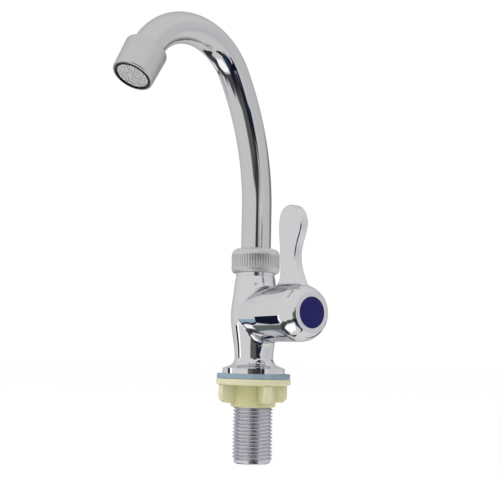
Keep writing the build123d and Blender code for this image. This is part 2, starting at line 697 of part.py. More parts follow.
def inlet_strainer():
    """The coarse screen that the water meets first."""
    low = SHELL_START_S + LOOSE_FIT
    high = low + STRAINER_T
    holes = hole_rings(3, STRAINER_HOLE_PITCH, STRAINER_HOLE_R, low, high)
    return at_outlet(rod(SCREEN_R, low, high) - holes)


def flow_body():
    """The moulded body that splits the stream and draws air in."""
    plate_end_s = FLOW_BODY_S + FLOW_PLATE_T
    body = rod(SCREEN_R, FLOW_BODY_S, plate_end_s)
    body += ring(ADAPTOR_LIP_R, SCREEN_R, plate_end_s, plate_end_s + FLOW_SKIRT_T)
    body += rod(FLOW_CORE_R, plate_end_s, plate_end_s + FLOW_SKIRT_T)
    holes = hole_rings(2, FLOW_HOLE_PITCH, FLOW_HOLE_R, FLOW_BODY_S, plate_end_s)
    return at_outlet(body - holes[1:])


def outlet_screen():
    """The pierced steel disc seen in the mouth."""
    holes = hole_rings(5, SCREEN_HOLE_PITCH, SCREEN_HOLE_R, SCREEN_S, SCREEN_S + SCREEN_T)
    return at_outlet(rod(SCREEN_R, SCREEN_S, SCREEN_S + SCREEN_T) - holes)


def mouth_ring():
    """The black rubber ring round the mouth."""
    start_s = LEDGE_S[1] + LOOSE_FIT / 2
    band = ring(SHELL_R + LOOSE_FIT / 2, MOUTH_RING_R, start_s, CUP_MOUTH_S + MOUTH_RING_PROUD)
    return at_outlet(fillet(band.edges().group_by(Axis.Z)[-1], EDGE_BREAK / 2))


PIECES = {
    "tap_body": tap_body,
    "inlet_shank": inlet_shank,
    "base_gasket": base_gasket,
    "clamp_washer": clamp_washer,
    "backnut": backnut,
    "spout_nut": spout_nut,
    "neck_slip_ring": neck_slip_ring,
    "spout_retaining_ring": spout_retaining_ring,
    "valve_seat_seal": valve_seat_seal,
    "fixed_disc": fixed_disc,
    "moving_disc": moving_disc,
    "cartridge_housing": cartridge_housing,
    "housing_o_ring": housing_o_ring,
    "spindle": spindle,
    "spindle_o_rings": spindle_o_rings,
    "thrust_washer": thrust_washer,
    "spindle_circlip": spindle_circlip,
    "lever_handle": lever_handle,
    "handle_screw": handle_screw,
    "index_cap": index_cap,
    "spout_tube": spout_tube,
    "spout_spigot": spout_spigot,
    "spout_o_rings": spout_o_rings,
    "outlet_adaptor": outlet_adaptor,
    "aerator_housing": aerator_housing,
    "aerator_gasket": aerator_gasket,
    "aerator_shell": aerator_shell,
    "inlet_strainer": inlet_strainer,
    "flow_body": flow_body,
    "outlet_screen": outlet_screen,
    "mouth_ring": mouth_ring,
}

os.makedirs("parts", exist_ok=True)
for name, make in PIECES.items():
    piece = make()
    export_step(piece, f"parts/{name}.step")
    print(f"{name}: {piece.volume:.0f} mm3")
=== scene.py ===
"""Dresses the basin tap for its studio picture: plated metal, moulded plastic and rubber over the frame."""

import logging
import math
from collections.abc import Sequence
from dataclasses import dataclass, field
from enum import Enum

import bmesh
import bpy
from bmesh.types import BMEdge, BMesh, BMVert
from mathutils import Matrix, Vector


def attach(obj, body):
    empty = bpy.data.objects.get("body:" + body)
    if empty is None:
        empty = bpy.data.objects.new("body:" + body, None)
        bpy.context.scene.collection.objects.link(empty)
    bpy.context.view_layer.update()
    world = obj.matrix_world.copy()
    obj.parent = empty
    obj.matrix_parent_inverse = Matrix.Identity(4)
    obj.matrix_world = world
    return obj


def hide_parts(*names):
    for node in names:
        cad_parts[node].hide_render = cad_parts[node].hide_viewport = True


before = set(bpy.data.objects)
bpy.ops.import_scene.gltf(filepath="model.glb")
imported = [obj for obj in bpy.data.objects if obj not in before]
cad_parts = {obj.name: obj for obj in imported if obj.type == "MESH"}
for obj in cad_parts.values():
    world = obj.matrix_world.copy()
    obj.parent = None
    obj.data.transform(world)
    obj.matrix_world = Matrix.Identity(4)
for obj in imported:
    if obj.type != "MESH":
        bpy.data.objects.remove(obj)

LOG = logging.getLogger("basin_tap")
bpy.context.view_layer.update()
MM = 0.001
FULL_TURN = 2 * math.pi
UP = Vector((0, 0, 1))
MERGE_MM = 0.002
SEAM_MM = 0.001
CREASE_DEG = 32.0
CORNER_STEPS = 5
WHITE = (1.0, 1.0, 1.0, 1.0)

# Between these values lies most of what a noise texture gives.
NOISE_SPAN = (0.3, 0.7)
# Patches of uneven polish are this much smaller than patches of uneven colour.
WEAR_SHARE = 0.7
# The Mix node's two colours and its result, whose names it uses more than once.
MIX_A, MIX_B, MIX_OUT = 6, 7, 2

Colour = tuple[float, float, float, float]
Node = bpy.types.Node
Socket = bpy.types.NodeSocket
Tree = bpy.types.NodeTree
# What feeds an input: a socket, or a node by its first output.
Source = Node | Socket


def linear(hex_code: str) -> Colour:
    """Turns an sRGB hex colour into linear light.

    Args:
        hex_code: Six hex digits after a hash sign.

    Returns:
        Red, green, blue and an alpha of 1.
    """
    levels = [int(hex_code[i : i + 2], 16) / 255 for i in (1, 3, 5)]
    curve = [c / 12.92 if c <= 0.04045 else ((c + 0.055) / 1.055) ** 2.4 for c in levels]
    return (curve[0], curve[1], curve[2], 1.0)


def per_metre(size_mm: float) -> float:
    """Texture scale at which one cell of a pattern is size_mm across."""
    return 1000.0 / size_mm


def add_node(tree: Tree, kind: str, given: dict | None = None) -> Node:
    """Adds one node to a material or world, with its settings and links.

    Args:
        tree: The node tree that gets the node.
        kind: Blender's name for the node type, after ShaderNode.
        given: The value or source of each input, and values for properties that no input is named after.

    Returns:
        The new node.
    """
    node = tree.nodes.new("ShaderNode" + kind)
    given = given or {}
    for key, value in given.items():
        if isinstance(key, str) and key not in node.inputs:
            setattr(node, key, value)
    for key, value in given.items():
        if isinstance(value, Source):
            tree.links.new(value.outputs[0] if isinstance(value, Node) else value, node.inputs[key])
        elif isinstance(key, int) or key in node.inputs:
            node.inputs[key].default_value = value
    return node


def clear_tree(owner: bpy.types.Material | bpy.types.World) -> Tree:
    """Turns on the nodes of a material or world and empties its tree."""
    owner.use_nodes = True
    owner.node_tree.nodes.clear()
    return owner.node_tree


@dataclass(frozen=True)
class Finish:
    """A real material and how its surface was made.

    Its tint is an sRGB hex code. Roughness and colour stray from their means by the spread, in patches of
    patch_mm. The finest relief that shows is grain_mm across and relief_mm high.
    """

    name: str
    tint: str
    roughness: float
    spread: float = 0.02
    patch_mm: float = 8.0
    grain_mm: float = 1.0
    relief_mm: float = 0.002

    def shader_values(self) -> dict:
        """Constants for the shader's own sockets, of which a plain finish has none."""
        return {}

    def colour(self, tree: Tree, place: Socket) -> Source:
        """Colour of the surface, clouded slightly from patch to patch.

        Args:
            tree: The material's node tree.
            place: Object coordinates.

        Returns:
            The colour.
        """
        scale = per_metre(self.patch_mm)
        cloud = add_node(tree, "TexNoise", {"Scale": scale, "Detail": 2.0, "Vector": place})
        ramp = add_node(tree, "ValToRGB", {"Fac": cloud})
        base = linear(self.tint)[:3]
        stops = zip(ramp.color_ramp.elements, NOISE_SPAN, (1 - self.spread, 1 + self.spread))
        for stop, position, level in stops:
            stop.position = position
            stop.color = (*[min(1.0, c * level) for c in base], 1.0)
        return ramp

    def relief(self, tree: Tree, place: Socket) -> Source:
        """Height pattern of the surface, 0 to 1.

        Args:
            tree: The material's node tree.
            place: Object coordinates.

        Returns:
            The height.
        """
        scale = per_metre(self.grain_mm)
        return add_node(tree, "TexNoise", {"Scale": scale, "Detail": 3.0, "Vector": place})

    def make(self) -> bpy.types.Material:
        """Builds the node material.

        Returns:
            The material, ready to be put on a piece.
        """
        material = bpy.data.materials.new(self.name)
        tree = clear_tree(material)
        place = add_node(tree, "TexCoord").outputs["Object"]
        scale = per_metre(self.patch_mm * WEAR_SHARE)
        wear = add_node(tree, "TexNoise", {"Scale": scale, "Detail": 4.0, "Vector": place})
        low, high = NOISE_SPAN
        least, most = max(0.0, self.roughness - self.spread), self.roughness + self.spread
        levels = {"From Min": low, "From Max": high, "To Min": least, "To Max": most, "Value": wear}
        rough = add_node(tree, "MapRange", levels)
        height = {"Strength": 1.0, "Distance": self.relief_mm * MM, "Height": self.relief(tree, place)}
        bump = add_node(tree, "Bump", height)
        skin = {"Base Color": self.colour(tree, place), "Roughness": rough, "Normal": bump}
        shader = add_node(tree, "BsdfPrincipled", self.shader_values() | skin)
        add_node(tree, "OutputMaterial", {"Surface": shader})
        return material


@dataclass(frozen=True)
class Metal(Finish):
    """Bare or plated metal, whose light is reflection."""

    # Tint of its reflections where the surface turns away.
    edge: str = "#DADADC"
    # Share of the surface that is bare metal and not a dulling film.
    bare: float = 1.0

    def shader_values(self) -> dict:
        """Constants for the shader's own sockets."""
        return {"Metallic": self.bare, "Specular Tint": linear(self.edge)}


@dataclass(frozen=True)
class Lathed(Metal):
    """Metal off the lathe, with rings across Z. Real ones are too fine to show, so they are drawn coarser."""

    ring_mm: float = 0.4

    def relief(self, tree: Tree, place: Socket) -> Source:
        """Rings of the turning tool.

        Args:
            tree: The material's node tree.
            place: Object coordinates.

        Returns:
            The height.
        """
        scale = per_metre(self.ring_mm) / FULL_TURN
        rings = {"bands_direction": "Z", "Scale": scale, "Distortion": 0.6, "Detail": 2.0, "Vector": place}
        return add_node(tree, "TexWave", rings).outputs["Fac"]


@dataclass(frozen=True)
class Plastic(Finish):
    """Injection-moulded plastic with a soft sheen. A gloss of 0.5 is usual."""

    # Share of the light that passes under the skin, and how deep it goes.
    glow: float = 0.0
    glow_mm: float = 1.5
    gloss: float = 0.5

    def shader_values(self) -> dict:
        """Constants for the shader's own sockets."""
        return {
            "IOR": 1.49,
            "Specular IOR Level": self.gloss,
            "Subsurface Weight": self.glow,
            "Subsurface Scale": self.glow_mm * MM,
            "Subsurface Radius": (1.0, 0.9, 0.5),
        }


@dataclass(frozen=True)
class Natural(Plastic):
    """Uncoloured plastic: painted shade makes it darker and more olive towards the Z axis, where it is also
    thick, and it is paler at its rim.
    """

    # Colour near the axis, darkened there as painted shade, and colour at the rim.
    shaded_core: str = "#C0BD88"
    rim: str = "#CCCAA8"
    # Distances from the axis at which it is all shaded core and all rim.
    reach_mm: tuple[float, float] = (11.5, 19.0)
    # Share of the moulding's clouds in the colour.
    cloudiness: float = 0.25

    def colour(self, tree: Tree, place: Socket) -> Source:
        """Colour by the distance from the axis, darker near it as painted shade, with the moulding's clouds
        over it.

        Args:
            tree: The material's node tree.
            place: Object coordinates.

        Returns:
            The colour.
        """
        near, wide = self.reach_mm
        flat = add_node(tree, "VectorMath", {"operation": "MULTIPLY", 0: place, 1: (1, 1, 0)})
        far = add_node(tree, "VectorMath", {"operation": "LENGTH", 0: flat}).outputs["Value"]
        share = add_node(tree, "MapRange", {"From Min": near * MM, "From Max": wide * MM, "Value": far})
        # Painted shade: the shaded core colour near the axis fades out to the rim colour.
        tints = {"data_type": "RGBA", 0: share, MIX_A: linear(self.shaded_core), MIX_B: linear(self.rim)}
        depth = add_node(tree, "Mix", tints).outputs[MIX_OUT]
        clouded = {"data_type": "RGBA", 0: self.cloudiness, MIX_A: depth, MIX_B: super().colour(tree, place)}
        return add_node(tree, "Mix", clouded).outputs[MIX_OUT]


@dataclass(frozen=True)
class Rubber(Finish):
    """Rubber: nearly matt, with a dusty bloom. A gloss of 0.5 is usual."""

    gloss: float = 0.4

    def shader_values(self) -> dict:
        """Constants for the shader's own sockets."""
        return {"IOR": 1.52, "Specular IOR Level": self.gloss}


class Surface(Enum):
    """The tap's finishes, each as its real material."""

    # Decorative chromium over a buffed casting: a mirror with faint long waves.
    CAST_CHROME = Metal("polished_chromium_on_casting", "#E7E7E9", 0.03, 0.012, 14.0, 9.0, 0.004)
    # Decorative chromium over drawn brass tube: an even, slightly greyer mirror.
    TUBE_CHROME = Metal("polished_chromium_on_drawn_tube", "#D9D9DA", 0.035, 0.012, 20.0, 12.0, 0.003)
    # Chromium over a finely blasted skin: spreads reflections to an even pale grey.
    SATIN = Metal("satin_chromium_plate", "#D9D9DA", 0.34, 0.02, 6.0, 2.0, 0.001)
    # Chromium over a knurled, as-cast skin: dull, with a fine mottle.
    KNURLED = Metal("dull_chromium_over_knurling", "#E9E9E9", 0.56, 0.05, 1.6, 0.5, 0.008)
    # The floors of the knurl's grooves: a darker, dull grey.
    GROOVE = Metal("darker_chromium_in_grooves", "#C0C0C2", 0.6, 0.06, 1.0, 0.4, 0.006)
    # Nickel plate over a rolled brass thread: bright with a slight lavender cast.
    SHANK = Metal("nickel_plated_rolled_thread", "#E4E4EA", 0.22, 0.03, 3.0, 2.0, 0.0005)
    # Machined brass: warm, with the lathe's rings.
    BRASS = Lathed("turned_brass", "#E3BA62", 0.26, 0.06, 5.0, 0.5, 0.006)
    # Punched and drawn stainless sheet: cool and slightly brushed.
    STEEL = Metal("drawn_stainless_steel", "#EAEAE9", 0.3, 0.06, 2.0, 0.6, 0.002)
    # Etched stainless disc: a pale, nearly even grey.
    SCREEN = Metal("etched_stainless_sheet", "#E2E2E1", 0.5, 0.03, 2.0, 0.6, 0.0005, bare=0.6)
    # Moulded EPDM: black, nearly matt.
    BLACK = Rubber("moulded_epdm_rubber", "#08080A", 0.6, 0.08, 3.0, 0.4, 0.006, gloss=0.15)
    # Die-cut foam rubber: blue-grey with a fine open grain.
    GASKET = Rubber("die_cut_blue_grey_rubber", "#8495A3", 0.62, 0.1, 4.0, 0.45, 0.03)
    # Natural polypropylene: cream and waxy, with painted shade that turns it olive towards the axis, where it
    # is thick, and paler where it thins out.
    CREAM = Natural(
        "moulded_natural_polypropylene", "#CDCBA6", 0.42, 0.03, 7.0, 1.6, 0.008, glow=0.2, glow_mm=1.5
    )
    # Pressed-in ABS disc: deep blue with a satin skin.
    BLUE = Plastic("moulded_blue_abs", "#100D55", 0.36, 0.05, 4.0, 0.8, 0.004, gloss=0.25)
    # Acetal: white and waxy.
    WHITE = Plastic("moulded_white_acetal", "#E4E3DD", 0.38, 0.05, 4.0, 0.5, 0.004, glow=0.1, glow_mm=1.0)
    # Lapped alumina: white, smooth, faintly speckled.
    CERAMIC = Plastic("lapped_alumina", "#EAE7E0", 0.2, 0.05, 1.5, 0.2, 0.001)


class Outline(Enum):
    """Shape of a patch of the room as the tap's reflections show it."""

    OVAL = "oval"
    BOX = "box"


OVAL, BOX = Outline.OVAL, Outline.BOX


@dataclass(frozen=True)
class Patch:
    """A light or dark place in the room that only reflections show.

    Its angles are in degrees, with the azimuth of its middle from +X and the elevation from the level. A
    strength of 1 is white paper, soft is the share of its size over which its edge fades, and cover says how
    much it hides of the room behind it.
    """

    outline: Outline
    azimuth: float
    elevation: float
    half_width: float
    half_height: float
    tint: str
    strength: float = 1.0
    soft: float = 0.4
    tilt: float = 0.0
    cover: float = 1.0

    def shade(self) -> Colour:
        """The light it gives."""
        return (*[c * self.strength for c in linear(self.tint)[:3]], 1.0)

    def distance(self, tree: Tree, place: Source) -> Source:
        """How far each place lies from the patch's middle, where its outline is at 1.

        Args:
            tree: The world's node tree.
            place: The place, in halves of the patch's width and height.

        Returns:
            The distance.
        """
        if self.outline is OVAL:
            return add_node(tree, "VectorMath", {"operation": "LENGTH", 0: place}).outputs["Value"]
        size = add_node(tree, "VectorMath", {"operation": "ABSOLUTE", 0: place})
        sides = add_node(tree, "SeparateXYZ", {"Vector": size}).outputs
        return add_node(tree, "Math", {"operation": "MAXIMUM", 0: sides["X"], 1: sides["Y"]})

    def mask(self, tree: Tree, way: Source, rise: Source) -> Source:
        """How much of the patch shows in each direction, fading at its edge.

        Args:
            tree: The world's node tree.
            way: The direction, 1 long.
            rise: Its height above the level in radians.

        Returns:
            The share, 0 outside the patch.
        """
        turn = -math.radians(self.azimuth)
        faced = add_node(tree, "VectorRotate", {"rotation_type": "Z_AXIS", "Angle": turn, "Vector": way})
        flat = add_node(tree, "SeparateXYZ", {"Vector": faced}).outputs
        aside = add_node(tree, "Math", {"operation": "ARCTAN2", 0: flat["Y"], 1: flat["X"]})
        centred = {
            "vector_type": "TEXTURE",
            "Location": (0, math.radians(self.elevation), 0),
            "Rotation": (0, 0, math.radians(self.tilt)),
            "Scale": (math.radians(self.half_width), math.radians(self.half_height), 1),
            "Vector": add_node(tree, "CombineXYZ", {"X": aside, "Y": rise}),
        }
        fading = {
            "interpolation_type": "SMOOTHSTEP",
            "From Min": 1 + self.soft / 2,
            "From Max": 1 - self.soft / 2,
            "To Min": 0.0,
            "To Max": self.cover,
            "Value": self.distance(tree, add_node(tree, "Mapping", centred)),
        }
        return add_node(tree, "MapRange", fading)


ROOM = (
    # The paler, cooler side of the room to the right, and its far corner.
    Patch(OVAL, 72, 12, 62, 24, "#D2D1D8", soft=0.9, cover=0.3),
    Patch(OVAL, 103, 11, 22, 7, "#A6A6A9", soft=0.7),
    Patch(OVAL, 114, -27, 3.5, 28, "#3C3C3F", soft=0.5),
    Patch(OVAL, 176, -50, 16, 34, "#3E3E44", soft=0.4),
    # A bright board low on the left.
    Patch(BOX, -94, -58, 42, 14, "#FFFFFF", 1.75, soft=0.15),
    # Shaded strips over that board's far edge.
    Patch(OVAL, -84, -34, 40, 5.5, "#5E6061", soft=0.6, tilt=4),
    Patch(OVAL, -50, -27, 16, 7, "#6A6A6C", soft=0.6),
    Patch(OVAL, -126, -37, 28, 8, "#4C5256", soft=0.6),
    Patch(OVAL, -158, -44, 24, 18, "#505155", soft=0.5),
    Patch(OVAL, -170, -29, 16, 7, "#767C7E", soft=0.6),
    # A light blue and a white field, each with a dark blue border.
    Patch(OVAL, -156, -15, 9, 4.5, "#B4CDE8", soft=0.5),
    Patch(BOX, -156, -20.5, 11, 1.2, "#1F2A4A", soft=0.5),
    Patch(BOX, -175, -20, 8, 4.5, "#FFFFFF", 1.6, soft=0.25, tilt=-40),
    Patch(BOX, -170, -13, 10, 1.8, "#1F2A4A", soft=0.4, tilt=-40),
    # The dark side of the room.
    Patch(OVAL, -30, -8, 27, 16, "#3A3A3B", soft=0.5),
    Patch(BOX, -42, -12, 15, 13, "#6E706A", soft=0.4),
    Patch(BOX, -31, 7, 9, 10, "#4C4C4D", soft=0.5),
    Patch(OVAL, -25, -36, 32, 14, "#25233C", soft=0.4, tilt=-8),
    Patch(OVAL, -24, -50, 26, 10, "#2C5070", soft=0.5, tilt=-12),
    Patch(OVAL, -2, -62, 10, 16, "#23252B", soft=0.5),
    Patch(BOX, -8, -5, 13, 4.5, "#1C2436", soft=0.4, tilt=35),
    Patch(BOX, 1, -13, 13, 4.5, "#26365A", soft=0.4, tilt=-35),
    Patch(BOX, -6, -21, 13, 4.5, "#14161C", soft=0.4, tilt=35),
    Patch(OVAL, 40, -10, 26, 14, "#DADBE6", soft=0.9, cover=0.4),
)


@dataclass(frozen=True)
class Aimed:
    """Something beside the tap that faces it: azimuth from +X and elevation from the level, in degrees."""

    name: str
    azimuth: float
    elevation: float

    def facing(self, middle: Vector, reach: float) -> Matrix:
        """Where it stands.

        Args:
            middle: What it faces.
            reach: Its distance in metres.

        Returns:
            A placement whose -Z looks at the middle.
        """
        a, e = math.radians(self.azimuth), math.radians(self.elevation)
        way = Vector((math.cos(a) * math.cos(e), math.sin(a) * math.cos(e), math.sin(e)))
        pose = way.to_track_quat("Z", "Y").to_matrix().to_4x4()
        pose.translation = middle + way * reach
        return pose


@dataclass(frozen=True)
class Card(Aimed):
    """A small board that only reflections show. A strength of 1 is white paper."""

    width_mm: float
    height_mm: float
    tint: str
    strength: float = 1.0


CARDS = (
    Card("navy_card", -145.0, -16.0, 30.0, 57.0, "#1B2138"),
    Card("white_card", -134.0, -16.0, 22.0, 61.0, "#FFFFFF", 1.9),
)


@dataclass(frozen=True)
class Lamp(Aimed):
    """A large soft lamp that the eye and the reflections don't see, with its power in watts."""

    watts: float


LAMPS = (
    Lamp("key_lamp", -100.0, 48.0, 9.0),
    Lamp("fill_lamp", 10.0, 25.0, 3.0),
    Lamp("top_lamp", 120.0, 75.0, 4.0),
)


@dataclass
class Studio:
    """White room, floor, lamps and camera of the picture."""

    eye_mm: tuple[float, float, float] = (389.040, -285.295, 12.000)
    aim: tuple[float, float, float] = (-0.80486, 0.58205, 0.11584)
    roll_deg: float = 1.149
    lens_mm: float = 65.184
    sensor_mm: float = 36.0
    clip_m: tuple[float, float] = (0.01, 20.0)
    floor_z_mm: float = -44.0
    floor_half_m: float = 4.0
    floor_tint: str = "#FAFAFA"
    # Share of the floor that the eye sees as plain white.
    floor_white: float = 0.97
    # The room's light on matt surfaces and in reflections.
    fill_level: float = 0.62
    room_level: float = 0.755
    room: tuple[Patch, ...] = ROOM
    # How far and how often the patches' edges stray from straight.
    waver: float = 0.16
    waver_scale: float = 5.0
    cards: tuple[Card, ...] = CARDS
    card_aim_mm: tuple[float, float, float] = (28.0, -12.0, 28.0)
    card_reach_mm: float = 150.0
    lamps: tuple[Lamp, ...] = LAMPS
    lamp_aim_mm: tuple[float, float, float] = (10.0, -30.0, 70.0)
    lamp_reach_m: float = 1.2
    lamp_width_m: float = 0.9

    def place_camera(self) -> None:
        """Puts the camera where the photograph was taken."""
        forward = Vector(self.aim).normalized()
        level = forward.cross(UP).normalized()
        rise = level.cross(forward)
        roll = math.radians(self.roll_deg)
        right = level * math.cos(roll) + rise * math.sin(roll)
        lens = bpy.data.cameras.new("picture_camera")
        lens.lens, lens.sensor_width = self.lens_mm, self.sensor_mm
        lens.clip_start, lens.clip_end = self.clip_m
        camera = bpy.data.objects.new("picture_camera", lens)
        pose = Matrix((right, right.cross(forward), -forward)).transposed().to_4x4()
        pose.translation = Vector(self.eye_mm) * MM
        camera.matrix_world = pose
        bpy.context.scene.collection.objects.link(camera)
        bpy.context.scene.camera = camera

    @staticmethod
    def clear_rays(tree: Tree) -> Source:
        """Tells what the eye sees, directly, mirrored or through glass, from what lights matt surfaces.

        Args:
            tree: A material's or the world's node tree.

        Returns:
            A source that is 1 for what is seen and 0 for what lights.
        """
        path = add_node(tree, "LightPath").outputs
        seen = path["Is Camera Ray"]
        for kind in ("Is Glossy Ray", "Is Transmission Ray"):
            seen = add_node(tree, "Math", {"operation": "MAXIMUM", 0: seen, 1: path[kind]})
        return seen

    def reflected_room(self, tree: Tree) -> Source:
        """Paints the room's patches over white.

        Args:
            tree: The world's node tree.

        Returns:
            The colour that reflections see.
        """
        way = add_node(tree, "TexCoord").outputs["Generated"]
        waves = add_node(tree, "TexNoise", {"Scale": self.waver_scale, "Detail": 2.0, "Vector": way})
        centred = {"operation": "SUBTRACT", 0: waves.outputs["Color"], 1: (0.5, 0.5, 0.5)}
        drift = add_node(tree, "VectorMath", centred)
        bend = {"operation": "MULTIPLY_ADD", 0: drift, 1: (self.waver, self.waver, self.waver), 2: way}
        unit = add_node(tree, "VectorMath", {"operation": "NORMALIZE", 0: add_node(tree, "VectorMath", bend)})
        height = add_node(tree, "SeparateXYZ", {"Vector": unit}).outputs["Z"]
        rise = add_node(tree, "Math", {"operation": "ARCSINE", 0: height})
        room = add_node(tree, "RGB")
        room.outputs[0].default_value = WHITE
        for patch in self.room:
            mask = patch.mask(tree, unit, rise)
            blend = {"data_type": "RGBA", 0: mask, MIX_A: room, MIX_B: patch.shade()}
            room = add_node(tree, "Mix", blend).outputs[MIX_OUT]
        return room

    def paint_world(self) -> None:
        """White for the eye, the room for reflections, and a plain level for matt surfaces."""
        world = bpy.data.worlds.new("white_room")
        tree = clear_tree(world)
        glossy = add_node(tree, "LightPath").outputs["Is Glossy Ray"]
        room = self.reflected_room(tree)
        mirrored = add_node(tree, "Background", {"Color": room, "Strength": self.room_level})
        fill = add_node(tree, "Background", {"Color": WHITE, "Strength": self.fill_level})
        white = add_node(tree, "Background", {"Color": WHITE, "Strength": 1.0})
        clear = add_node(tree, "MixShader", {0: glossy, 1: white, 2: mirrored})
        mix = add_node(tree, "MixShader", {0: self.clear_rays(tree), 1: fill, 2: clear})
        add_node(tree, "OutputWorld", {"Surface": mix})
        bpy.context.scene.world = world

    def lay_floor(self) -> None:
        """A pale sweep just under the tap that keeps its shadow."""
        material = bpy.data.materials.new("white_paper_sweep")
        tree = clear_tree(material)
        clear = self.clear_rays(tree)
        share = add_node(tree, "Math", {"operation": "MULTIPLY", 0: clear, 1: self.floor_white})
        paper = add_node(tree, "BsdfDiffuse", {"Color": linear(self.floor_tint)})
        white = add_node(tree, "Emission", {"Color": WHITE, "Strength": 1.0})
        mix = add_node(tree, "MixShader", {0: share, 1: paper, 2: white})
        add_node(tree, "OutputMaterial", {"Surface": mix})
        shape = bmesh.new()
        low = Matrix.Translation(UP * self.floor_z_mm * MM)
        bmesh.ops.create_grid(shape, x_segments=1, y_segments=1, size=self.floor_half_m, matrix=low)
        floor = finished("floor", shape, material)
        floor.visible_glossy = False

    def hang_lamps(self) -> None:
        """Large soft lamps that model the matt pieces and cast the faint shadow."""
        middle = Vector(self.lamp_aim_mm) * MM
        for lamp in self.lamps:
            light = bpy.data.lights.new(lamp.name, "AREA")
            light.size, light.energy = self.lamp_width_m, lamp.watts
            shade = bpy.data.objects.new(lamp.name, light)
            shade.matrix_world = lamp.facing(middle, self.lamp_reach_m)
            shade.visible_glossy = False
            shade.visible_camera = False
            bpy.context.scene.collection.objects.link(shade)

    def set_cards(self) -> None:
        """Small boards beside the tap, shown by reflections alone."""
        middle = Vector(self.card_aim_mm) * MM
        for card in self.cards:
            material = bpy.data.materials.new(card.name)
            tree = clear_tree(material)
            light = {"Color": linear(card.tint), "Strength": card.strength * self.room_level}
            add_node(tree, "OutputMaterial", {"Surface": add_node(tree, "Emission", light)})
            pose = card.facing(middle, self.card_reach_mm * MM)
            pose @= Matrix.Diagonal((card.width_mm * MM, card.height_mm * MM, 1, 1))
            shape = bmesh.new()
            bmesh.ops.create_grid(shape, x_segments=1, y_segments=1, size=0.5, matrix=pose)
            board = finished(card.name, shape, material)
            board.visible_camera = board.visible_diffuse = False
            board.visible_shadow = board.visible_transmission = False

    def build(self) -> None:
        """Sets up the whole studio."""
        self.place_camera()
        self.paint_world()
        self.lay_floor()
        self.set_cards()
        self.hang_lamps()
        bpy.context.scene.view_settings.view_transform = "Standard"
        LOG.info("studio: %d patches, %d cards, %d lamps", len(self.room), len(self.cards), len(self.lamps))


def finished(
    name: str, shape: BMesh, material: bpy.types.Material, crease_deg: float = CREASE_DEG
) -> bpy.types.Object:
    """Turns a bmesh into an object at the origin, shaded smooth with its hard edges kept.

    Args:
        name: The piece's name.
        shape: Its mesh in metres, which is freed.
        material: Its finish.
        crease_deg: Edges that turn by more than this stay sharp.

    Returns:
        The new object.
    """
    limit = math.radians(crease_deg)
    for face in shape.faces:
        face.smooth = True
    for edge in shape.edges:
        edge.smooth = len(edge.link_faces) != 2 or edge.calc_face_angle() < limit
    mesh = bpy.data.meshes.new(name)
    shape.to_mesh(mesh)
    shape.free()
    mesh.materials.append(material)
    piece = bpy.data.objects.new(name, mesh)
    bpy.context.scene.collection.objects.link(piece)
    return piece


def verts_of(geometry: Sequence) -> list[BMVert]:
    """The vertices among mixed geometry."""
    return [part for part in geometry if isinstance(part, BMVert)]


def edges_of(geometry: Sequence) -> list[BMEdge]:
    """The edges among mixed geometry."""
    return [part for part in geometry if isinstance(part, BMEdge)]


def edges_between(verts: Sequence[BMVert]) -> list[BMEdge]:
    """Edges whose two ends are both among the given vertices."""
    chosen = set(verts)
    return list(dict.fromkeys(e for vert in verts for e in vert.link_edges if e.other_vert(vert) in chosen))


@dataclass(frozen=True)
class Corner:
    """A corner of a turned outline, in millimetres, and how far its rounding reaches along each side."""

    radius: float
    height: float
    soft: float = 0.0


def turned(corners: Sequence[Corner], segments: int = 96) -> BMesh:
    """Rounds the corners of a closed outline and spins it once round Z.

    Args:
        corners: The outline's corners in order.
        segments: Steps in the full turn.

    Returns:
        The closed turned shape, in metres.
    """
    shape = bmesh.new()
    verts = [shape.verts.new((c.radius * MM, 0, c.height * MM)) for c in corners]
    for here, there in zip(verts, verts[1:] + verts[:1]):
        if here.co.x > 0 or there.co.x > 0:
            shape.edges.new((here, there))
    for vert, corner in zip(verts, corners):
        if corner.soft:
            bmesh.ops.bevel(
                shape, geom=[vert], offset=corner.soft * MM, offset_type="OFFSET", segments=CORNER_STEPS,
                profile=0.5, affect="VERTICES", material=-1,
            )
    bmesh.ops.spin(
        shape, geom=shape.verts[:] + shape.edges[:], cent=(0, 0, 0), axis=UP, angle=FULL_TURN, steps=segments,
        use_merge=True,
    )
    close_up(shape)
    return shape


def close_up(shape: BMesh) -> None:
    """Merges doubles, drops what they leave flat and turns all faces outwards.

    Args:
        shape: The mesh, in metres.
    """
    bmesh.ops.remove_doubles(shape, verts=shape.verts, dist=MERGE_MM * MM)
    bmesh.ops.dissolve_degenerate(shape, edges=shape.edges, dist=MERGE_MM * MM / 2)
    bmesh.ops.recalc_face_normals(shape, faces=shape.faces)


def moved(shape: BMesh, place: Matrix) -> BMesh:
    """Moves a whole shape by a placement given in metres."""
    bmesh.ops.transform(shape, matrix=place, verts=shape.verts)
    return shape


